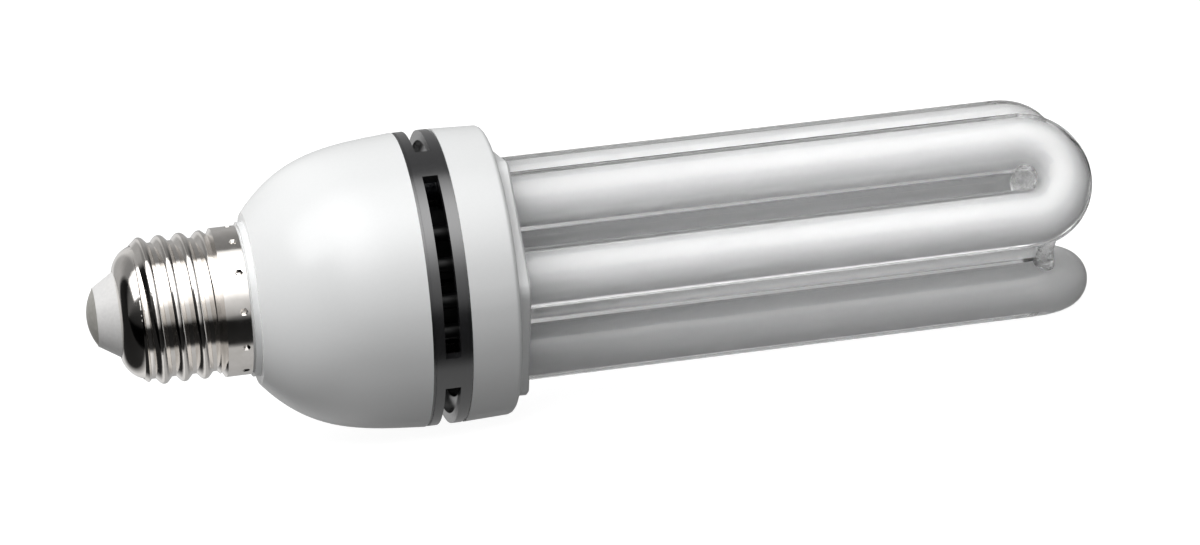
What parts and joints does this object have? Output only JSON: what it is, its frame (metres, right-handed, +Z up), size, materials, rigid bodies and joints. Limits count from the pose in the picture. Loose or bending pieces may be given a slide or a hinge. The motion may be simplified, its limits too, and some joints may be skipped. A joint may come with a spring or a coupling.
{
  "type": "compact fluorescent uv bulb",
  "caption": "Screw-cap discharge lamp with U-shaped glass tubes on a bowl-shaped housing with a slotted vent ring.",
  "frame": {"origin": "on the surface the lamp lies on, at the bottom centre of its box", "axes": "+X runs along the lamp from the screw cap to the tube tips, +Z up"},
  "size_m": [0.1833, 0.0528, 0.0534],
  "materials": {
    "nickel": "polished nickel plate",
    "insulator": "light grey moulding",
    "white_plastic": "glossy white moulding",
    "grey_plastic": "satin dark grey moulding",
    "cement": "set white cement",
    "coated_glass": "clear glass over a white inner coating",
    "silicone": "clear silicone",
    "board": "phenolic board",
    "can_sleeve": "shrink sleeve",
    "ferrite": "ferrite",
    "copper_wire": "enamelled copper",
    "black_epoxy": "moulded epoxy",
    "film_case": "dipped film capacitor",
    "resistor_enamel": "enamelled body",
    "tinned_wire": "tinned wire",
    "wire_insulation": "insulated wire"
  },
  "bodies": {
    "root": {"centre_contact": "nickel", "cap_insulator": "insulator", "screw_shell": "nickel", "ballast_housing": "white_plastic", "vent_ring": "grey_plastic", "tube_cap": "white_plastic", "tube_cement": "cement", "discharge_tube": "coated_glass", "tip_silicone": "silicone", "circuit_board": "board", "smoothing_capacitor": "can_sleeve", "choke_core": "ferrite", "choke_winding": "copper_wire", "drive_toroid": "ferrite", "power_transistors": "black_epoxy", "resonant_capacitor": "film_case", "film_capacitors": "film_case", "rectifier_diodes": "black_epoxy", "fuse_resistor": "resistor_enamel", "input_inductor": "copper_wire", "board_resistors": "resistor_enamel", "filament_leads": "tinned_wire", "live_lead": "wire_insulation", "neutral_lead": "wire_insulation"}
  },
  "joints": []
}
